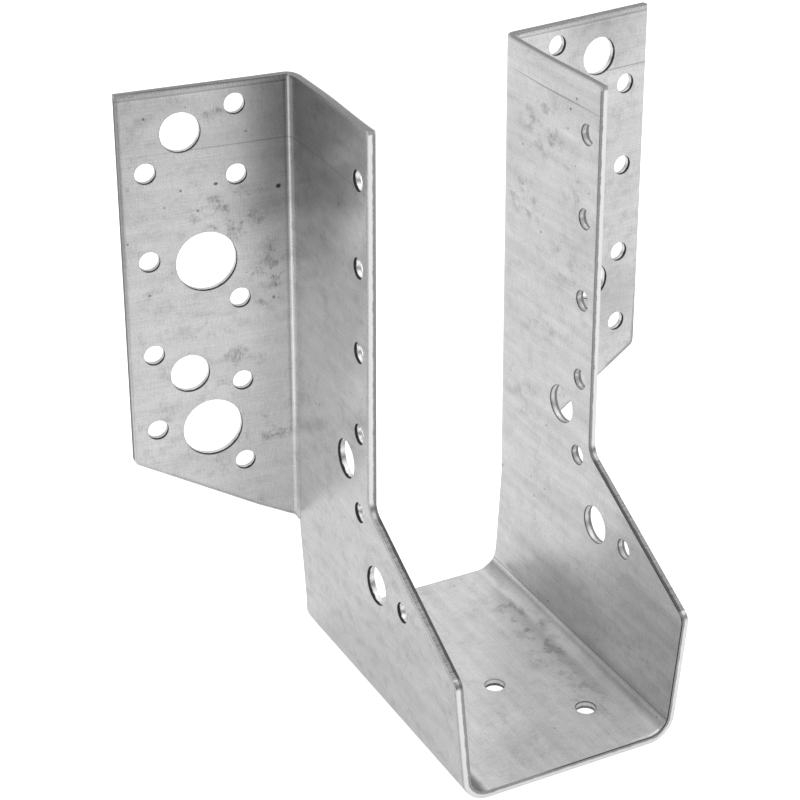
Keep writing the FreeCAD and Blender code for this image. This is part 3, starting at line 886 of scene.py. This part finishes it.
@dataclass(frozen=True)
class CutEdge:
    """Sheared outline: bright under the punched side, dull and grainy where it broke."""

    name: str = "cut_edge"
    bright: float = 0.95
    broken: float = 0.38
    dull: float = 0.36
    share: float = 0.40
    flange_end: float = 118.0
    end_dark: float = 0.72
    top: float = 173.2
    slant_starts: tuple[float, float] = (1.0, 2.0)
    slant_ends: tuple[float, float] = (40.0, 42.0)
    lip_dark: float = 0.85
    waves: Texture = Texture(0.35, 0.35, 3.0, 0.6)
    grain: Texture = Texture(4.5, 4.5, 3.0, 0.8)

    def build(self) -> bpy.types.Material:
        """Make the finish.

        Returns:
            Its material.
        """
        made, graph = new_graph(self.name)
        depth = graph.depth
        along, across, _ = graph.split(graph.place)
        wander, grain = self.waves.about(graph), self.grain.on(graph)
        shear = (depth + wander * 0.35 + (grain - 0.5) * 0.2).ramp(self.share - 0.05, self.share + 0.05)
        rough_break = self.broken * (0.45 + grain * 1.1)
        tone = rough_break + (self.bright - 0.24 * grain - rough_break) * shear
        top = across.size().ramp(self.top, self.top + 0.5)
        worn = self.dull * (0.4 + grain * 1.2) + depth.ramp(0.0, 0.35, 0.40, 0.0)
        tone = tone + (worn - tone) * top
        slant = along.ramp(*self.slant_starts) * along.ramp(*self.slant_ends, 1.0, 0.0)
        slant = slant * across.size().ramp(44.0, 46.0)
        tone = tone * (1.0 - slant * (0.25 + grain * 0.9))
        lip = along.ramp(0.3, 0.8, 1.0, 0.0) * depth.ramp(0.06, 0.16, 1.0, 0.0) * across.ramp(-12.0, 0.0)
        end = along.ramp(self.flange_end, self.flange_end + 1.0) * (1.0 - top)
        tone = tone * (1.0 - lip * self.lip_dark) * (1.0 - end * self.end_dark)
        graph.metal(tone, 0.5 - shear * 0.22, grain, 0.25, 1.0 - end * 0.5)
        return made


@dataclass(frozen=True)
class HoleWall:
    """Wall of a punched hole: dark where the punch entered, then bright."""

    name: str = "hole_wall"
    bright: float = 0.95
    dark: float = 0.05
    rim: float = 0.62
    entry: tuple[float, float] = (0.62, 0.955)
    near_rim: tuple[float, float] = (0.10, 0.22)
    near_dark: float = 0.75
    roughness: float = 0.34
    waves: Texture = Texture(0.8, 0.8, 2.0)
    grain: Texture = Texture(4.0, 4.0, 2.0, 0.6)

    def build(self) -> bpy.types.Material:
        """Make the finish, with a dark near rim on the walls in the right cheek.

        Returns:
            Its material.
        """
        made, graph = new_graph(self.name)
        depth = graph.depth
        along, across, _ = graph.split(graph.place)
        wander, grain = self.waves.about(graph), self.grain.on(graph)
        first, last = self.entry
        cheek = across.ramp(-10.0, 10.0) * along.ramp(84.0, 86.0, 1.0, 0.0)
        entry = (depth + wander * 0.3).ramp(first - 0.07, first + 0.07) * (1.0 - cheek * 0.35)
        entry = entry * depth.ramp(last, last + 0.04, 1.0, 0.0)
        tone = self.bright * (0.85 + grain * 0.3) * depth.ramp(last, last + 0.04, 1.0, self.rim)
        tone = tone * (1.0 - entry) + self.dark * entry
        near = depth.ramp(*self.near_rim, 1.0, 0.0) * cheek
        tone = tone * (1.0 - near * self.near_dark) * (1.0 - cheek * (grain - 0.3) * 0.5)
        graph.metal(tone, self.roughness, grain, 0.15, (1.0 - entry) * (1.0 - cheek * 0.4))
        return made


class Finish(Enum):
    """The sheet's finishes, in the order of its material slots."""

    ZINC = ZincCoat()
    CUT_EDGE = CutEdge()
    ROLLED_EDGE = RolledEdge()
    HOLE_WALL = HoleWall()


def connected(beside: dict[int, set[int]]) -> list[set[int]]:
    """Sort points into groups that hang together.

    Args:
        beside: the neighbours of each point.

    Returns:
        The groups.
    """
    groups, seen = [], set()
    for start in beside:
        if start in seen:
            continue
        group, waiting = set(), [start]
        while waiting:
            index = waiting.pop()
            if index not in group:
                group.add(index)
                waiting.extend(beside[index] - group)
        seen |= group
        groups.append(group)
    return groups


def in_edit_mode(piece: bpy.types.Object) -> None:
    """Make a piece the only selected one and enter its edit mode.

    Args:
        piece: the piece.
    """
    if bpy.context.object is not None and bpy.context.object.mode != "OBJECT":
        bpy.ops.object.mode_set(mode="OBJECT")
    bpy.ops.object.select_all(action="DESELECT")
    bpy.context.view_layer.objects.active = piece
    piece.select_set(True)
    bpy.ops.object.mode_set(mode="EDIT")


@dataclass
class FoldedSheet:
    """The hanger's one piece: the solid laid flat, finished as a punched blank and folded."""

    folding: Folding = field(default_factory=Folding)
    node: str = "joist_hanger"
    name: str = "folded_sheet"
    roll_width: float = 1.15
    roll_depth: float = 0.2
    roll_margin: float = 0.03
    rim_width: float = 0.12
    broken_edge: float = 0.12
    weld: float = 0.004
    level_error: float = 0.001
    flat_angle: float = math.radians(0.5)
    sharp_angle: float = math.radians(38)
    smooth_angle: float = math.radians(35)
    longest_rim: float = 60.0
    widest_hole: float = 20.0
    roll_steps: int = 5
    rim_steps: int = 3
    fold_steps: int = 18
    knee_steps: int = 4
    rise_steps: int = 4

    def build(self) -> bpy.types.Object:
        """Copy the solid, lay it flat, finish the blank and fold it again.

        Returns:
            The folded sheet.
        """
        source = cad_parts[self.node]
        piece = bpy.data.objects.new(self.name, source.data.copy())
        bpy.context.scene.collection.objects.link(piece)
        piece.data.name = self.name
        self._flatten(piece)
        self._roll_edges(piece)
        self._score(piece)
        self._unfold_pattern(piece)
        self._assign(piece)
        self._fold(piece)
        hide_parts(self.node)
        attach(piece, "root")
        return piece

    @property
    def thickness(self) -> float:
        """Thickness of the sheet in metres."""
        return self.folding.sizes.thickness * MM

    def _flatten(self, piece: bpy.types.Object) -> None:
        """Lay the solid's mesh flat, punched side up, and clear the lines on its faces.

        Args:
            piece: the sheet.
        """
        for vertex in piece.data.vertices:
            along, across, depth = self.folding.flat(vertex.co)
            vertex.co = (along * MM, across * MM, round(depth) * self.thickness)
        in_edit_mode(piece)
        bpy.ops.mesh.select_all(action="SELECT")
        bpy.ops.mesh.remove_doubles(threshold=self.weld * MM)
        bpy.ops.mesh.dissolve_degenerate(threshold=self.weld * MM)
        bpy.ops.mesh.dissolve_limited(angle_limit=self.flat_angle)
        bpy.ops.object.mode_set(mode="OBJECT")

    def _edge_loops(self, piece: bpy.types.Object, height: float) -> list[list[int]]:
        """Find the loops of sharp edges that lie at one height of the flat blank.

        Args:
            piece: the flat blank.
            height: the height, in metres.

        Returns:
            The edges of each loop.
        """
        in_edit_mode(piece)
        bpy.ops.mesh.select_mode(type="EDGE")
        bpy.ops.mesh.select_all(action="DESELECT")
        bpy.ops.mesh.edges_select_sharp(sharpness=self.sharp_angle)
        bpy.ops.object.mode_set(mode="OBJECT")
        points = piece.data.vertices
        chosen, beside = [], {}
        for edge in piece.data.edges:
            first, last = edge.vertices
            level = all(abs(points[end].co.z - height) < self.level_error * MM for end in (first, last))
            if edge.select and level:
                chosen.append(edge)
                beside.setdefault(first, set()).add(last)
                beside.setdefault(last, set()).add(first)
        return [[edge.index for edge in chosen if edge.vertices[0] in group] for group in connected(beside)]

    def _length(self, mesh: bpy.types.Mesh, loop: list[int]) -> float:
        """Measure a loop.

        Args:
            mesh: the mesh.
            loop: the loop's edges.

        Returns:
            Its length in millimetres.
        """
        total = 0.0
        for index in loop:
            first, last = (mesh.vertices[end].co for end in mesh.edges[index].vertices)
            total += (first - last).length
        return total / MM

    def _bevel(self, piece: bpy.types.Object, loops: list[list[int]], width: float, steps: int) -> None:
        """Bevel some loops of edges.

        Args:
            piece: the flat blank.
            loops: the loops' edges.
            width: the bevel's width in millimetres.
            steps: its segments.
        """
        chosen = {index for loop in loops for index in loop}
        in_edit_mode(piece)
        bpy.ops.mesh.select_all(action="DESELECT")
        bpy.ops.object.mode_set(mode="OBJECT")
        for edge in piece.data.edges:
            edge.select = edge.index in chosen
        bpy.ops.object.mode_set(mode="EDIT")
        bpy.ops.mesh.bevel(offset=width * MM, segments=steps, affect="EDGES", clamp_overlap=False)
        bpy.ops.object.mode_set(mode="OBJECT")
        LOG.info("%s: bevelled %d loops by %.2f mm", piece.name, len(loops), width)

    def _roll_edges(self, piece: bpy.types.Object) -> None:
        """Draw in the punched side's edges and break the other side's.

        Args:
            piece: the sheet.
        """
        loops = self._edge_loops(piece, self.thickness)
        outline = [loop for loop in loops if self._length(piece.data, loop) > self.longest_rim]
        self._bevel(piece, outline, self.roll_width, self.roll_steps)
        for vertex in piece.data.vertices:
            below = self.thickness - vertex.co.z
            if 0 < below <= self.roll_width * MM * 1.001:
                vertex.co.z = self.thickness - below * self.roll_depth / self.roll_width
        rims = self._edge_loops(piece, self.thickness)
        rims = [loop for loop in rims if self._length(piece.data, loop) < self.longest_rim]
        self._bevel(piece, rims, self.rim_width, self.rim_steps)
        self._bevel(piece, self._edge_loops(piece, 0.0), self.broken_edge, 1)

    def _score(self, piece: bpy.types.Object) -> None:
        """Cut the blank into narrow strips where it is going to be folded.

        Args:
            piece: the sheet.
        """
        f = self.folding
        along = self._steps(f.press_start, f.press_end, self.fold_steps)
        along += self._steps(f.draw_start, f.draw_start + f.draw_reach, f.draw_steps)
        along += [f.press_end + f.settle]
        across = self._steps(f.seat_end, f.foot_start, self.fold_steps)
        across += self._steps(f.knee_start, f.knee_end, self.knee_steps)
        across += self._steps(f.foot_start, f.header_low, self.rise_steps)[1:]
        in_edit_mode(piece)
        cuts = [((place, 0.0, 0.0), (1.0, 0.0, 0.0)) for place in along]
        cuts += [((0.0, side * place, 0.0), (0.0, 1.0, 0.0)) for place in across for side in (-1, 1)]
        for place, direction in cuts:
            bpy.ops.mesh.select_all(action="SELECT")
            bpy.ops.mesh.bisect(plane_co=[part * MM for part in place], plane_no=direction)
        bpy.ops.object.mode_set(mode="OBJECT")
        LOG.info("%s: %d faces after %d cuts", piece.name, len(piece.data.polygons), len(cuts))

    def _steps(self, first: float, last: float, count: int) -> list[float]:
        """Return the ends of a number of even steps."""
        return [first + (last - first) * i / count for i in range(count + 1)]

    def _unfold_pattern(self, piece: bpy.types.Object) -> None:
        """Keep each point's place in the flat blank and its depth in the sheet.

        Args:
            piece: the sheet.
        """
        mesh = piece.data
        depth = mesh.attributes.new("depth", "FLOAT", "POINT")
        depth.data.foreach_set("value", [vertex.co.z / self.thickness for vertex in mesh.vertices])
        blank = mesh.uv_layers.new(name="blank")
        for loop in mesh.loops:
            spot = mesh.vertices[loop.vertex_index].co
            blank.data[loop.index].uv = (spot.x, spot.y)

    def _assign(self, piece: bpy.types.Object) -> None:
        """Give the faces the zinc coat, and the sheared and rolled edges their own finish.

        Args:
            piece: the sheet.
        """
        mesh = piece.data
        mesh.materials.clear()
        for finish in Finish:
            mesh.materials.append(finish.value.build())
        slots = {finish: slot for slot, finish in enumerate(Finish)}
        walls = self._hole_points(mesh)
        for face in mesh.polygons:
            face.material_index = slots[self._finish(mesh, face, walls)]

    def _finish(self, mesh: bpy.types.Mesh, face: bpy.types.MeshPolygon, walls: set[int]) -> Finish:
        """Choose the finish of one face of the flat blank.

        Args:
            mesh: the blank's mesh.
            face: the face.
            walls: the points of all holes' walls.

        Returns:
            Its finish.
        """
        heights = [mesh.vertices[index].co.z / self.thickness for index in face.vertices]
        if max(heights) - min(heights) < self.level_error:
            return Finish.ZINC
        if all(index in walls for index in face.vertices):
            return Finish.HOLE_WALL
        if min(heights) > 1 - self.roll_depth / self.folding.sizes.thickness - self.roll_margin:
            return Finish.ROLLED_EDGE
        return Finish.CUT_EDGE

    def _hole_points(self, mesh: bpy.types.Mesh) -> set[int]:
        """Find the points of all holes' walls: small groups joined by upright faces.

        Args:
            mesh: the blank's mesh.

        Returns:
            The points.
        """
        beside = {}
        for face in mesh.polygons:
            heights = [mesh.vertices[index].co.z for index in face.vertices]
            if max(heights) - min(heights) > self.level_error * self.thickness:
                for index in face.vertices:
                    beside.setdefault(index, set()).update(face.vertices)
        walls = set()
        for group in connected(beside):
            spots = [mesh.vertices[index].co.x for index in group]
            if max(spots) - min(spots) < self.widest_hole * MM:
                walls |= group
        return walls

    def _fold(self, piece: bpy.types.Object) -> None:
        """Fold the blank into the hanger and shade its folds smooth.

        Args:
            piece: the sheet.
        """
        for vertex in piece.data.vertices:
            place = vertex.co
            folded = self.folding.folded(place.x / MM, place.y / MM, place.z / self.thickness)
            low, high = CAD_BOX
            vertex.co = [min(max(part, low[axis]), high[axis]) for axis, part in enumerate(folded)]
        bpy.ops.object.select_all(action="DESELECT")
        bpy.context.view_layer.objects.active = piece
        piece.select_set(True)
        bpy.ops.object.shade_smooth_by_angle(angle=self.smooth_angle)
        weights = piece.modifiers.new("flats", "WEIGHTED_NORMAL")
        weights.keep_sharp = True
        weights.weight = 100
        bpy.ops.object.modifier_apply(modifier=weights.name)


@dataclass(frozen=True)
class Lamp:
    """A wide soft lamp that points at the hanger's foot."""

    name: str
    place: tuple[float, float, float]
    power: float
    size: float = 1.6
    target: tuple[float, float, float] = (0.0, 0.0, 0.05)

    def hang(self) -> None:
        """Hang the lamp in its place."""
        data = bpy.data.lights.new(self.name, "AREA")
        data.size = self.size
        data.energy = self.power
        lamp = bpy.data.objects.new(self.name, data)
        bpy.context.scene.collection.objects.link(lamp)
        lamp.location = self.place
        lamp.rotation_mode = "QUATERNION"
        lamp.rotation_quaternion = (Vector(self.target) - Vector(self.place)).to_track_quat("-Z", "Y")


@dataclass(frozen=True)
class Studio:
    """Pale floor, soft lamps, surroundings and the camera at the photograph's place."""

    camera_place: tuple[float, float, float] = (-0.23347, -0.40915, 0.32509)
    yaw: float = 0.47827
    pitch: float = 0.48497
    roll: float = 0.00298
    focal_pixels: float = 2274.74
    image_pixels: float = 800.0
    sensor: float = 36.0
    shade_centre: tuple[float, float] = (-0.28, -0.42)
    shade_reach: tuple[float, float] = (0.12, 0.38)
    shade_depth: float = 0.08
    back_shade: tuple[float, float, float, float] = (-0.15, 0.25, 1.0, 0.84)
    floor_size: float = 12.0
    floor_tone: float = 0.8
    floor_seen: float = 0.8
    floor_mirrored: float = 0.32
    wall_rise: tuple[float, float, float, float] = (0.42, 0.64, 0.56, 0.98)
    wall_left: tuple[float, float, float, float] = (-0.7, 0.0, 0.62, 1.0)
    wall_before: tuple[float, float, float, float] = (-0.55, 0.1, 0.34, 1.0)
    ambient: float = 0.7
    key_lamp: Lamp = Lamp("key_lamp", (0.8, -0.4, 1.3), 4.5)
    fill_lamp: Lamp = Lamp("fill_lamp", (-1.0, 0.9, 1.3), 2.0)

    def build(self) -> None:
        """Set up everything around the hanger."""
        self._camera()
        self._floor()
        self._world()
        self.key_lamp.hang()
        self.fill_lamp.hang()
        bpy.context.scene.view_settings.view_transform = "Standard"

    def _camera(self) -> None:
        """Place the camera where the photograph was taken from."""
        level = math.cos(self.pitch)
        ahead = Vector((math.sin(self.yaw) * level, math.cos(self.yaw) * level, -math.sin(self.pitch)))
        right = Vector((math.cos(self.yaw), -math.sin(self.yaw), 0.0))
        down = ahead.cross(right)
        turned_right = right * math.cos(self.roll) + down * math.sin(self.roll)
        turned_down = down * math.cos(self.roll) - right * math.sin(self.roll)
        axes = Matrix((turned_right, -turned_down, -ahead)).transposed().to_4x4()
        data = bpy.data.cameras.new("camera")
        data.sensor_width = self.sensor
        data.lens = self.focal_pixels / self.image_pixels * self.sensor
        camera = bpy.data.objects.new("camera", data)
        bpy.context.scene.collection.objects.link(camera)
        camera.matrix_world = Matrix.Translation(self.camera_place) @ axes
        bpy.context.scene.camera = camera

    def _shade(self, graph: Graph, place: Signal) -> Signal:
        """Shade the floor near the camera, and a little behind the hanger.

        Args:
            graph: the floor's graph.
            place: the place on the floor, in metres.

        Returns:
            How much of the floor's light is left.
        """
        x, y, _ = graph.split(place)
        aside, before = x - self.shade_centre[0], y - self.shade_centre[1]
        distance = (aside * aside + before * before) ** 0.5
        left = distance.ramp(*self.shade_reach, self.shade_depth, 1.0)
        return left * y.ramp(*self.back_shade)

    def _rays(self, graph: Graph) -> tuple[Signal, Signal]:
        """Tell which rays are looking.

        Args:
            graph: the graph that asks.

        Returns:
            1 for a ray from the camera, and 1 for one from a mirror or through glass.
        """
        light = graph.node("ShaderNodeLightPath", {}, {})
        mirrored = light.out("Is Glossy Ray").larger(light.out("Is Transmission Ray"))
        return light.out("Is Camera Ray"), mirrored

    def _floor(self) -> None:
        """Lay a wide pale floor under the seat, seen as white and darker by the camera."""
        bpy.ops.object.select_all(action="DESELECT")
        bpy.ops.mesh.primitive_plane_add(size=self.floor_size, location=(0.0, 0.0, 0.0))
        floor = bpy.context.object
        floor.name = "floor"
        made, graph = new_graph("pale_floor")
        camera, mirrored = self._rays(graph)
        place = graph.node("ShaderNodeTexCoord", {}, {}).out("Object")
        left = 1.0 - mirrored * (1.0 - self._shade(graph, place))
        glow = camera * self.floor_seen + mirrored * left * self.floor_mirrored
        inputs = {"Base Color": graph.grey(left * self.floor_tone), "Emission Color": graph.grey(glow)}
        inputs.update({"Emission Strength": 1.0, "Roughness": 1.0, "Specular IOR Level": 0.0})
        shader = graph.node("ShaderNodeBsdfPrincipled", {}, inputs)
        graph.node("ShaderNodeOutputMaterial", {}, {"Surface": shader.out()})
        floor.data.materials.append(made)

    def _world(self) -> None:
        """Surround the hanger with soft pale walls, darkest on the camera's side."""
        world = bpy.data.worlds.new("studio")
        world.use_nodes = True
        bpy.context.scene.world = world
        graph = Graph(world.node_tree)
        camera, mirrored = self._rays(graph)
        x, y, z = graph.split(graph.node("ShaderNodeTexCoord", {}, {}).out("Generated"))
        walls = z.ramp(*self.wall_rise) * x.ramp(*self.wall_left) * y.ramp(*self.wall_before)
        strength = camera + mirrored * walls + (1.0 - camera.larger(mirrored)) * self.ambient
        shader = graph.node("ShaderNodeBackground", {}, {"Color": graph.grey(strength), "Strength": 1.0})
        graph.node("ShaderNodeOutputWorld", {}, {"Surface": shader.out()})


def main() -> None:
    """Build the hanger's sheet, then the studio round it."""
    logging.basicConfig(level=logging.INFO, format="%(name)s: %(message)s")
    sheet = FoldedSheet().build()
    LOG.info("%s: %d faces", sheet.name, len(sheet.data.polygons))
    Studio().build()


if __name__ == "__main__":
    main()
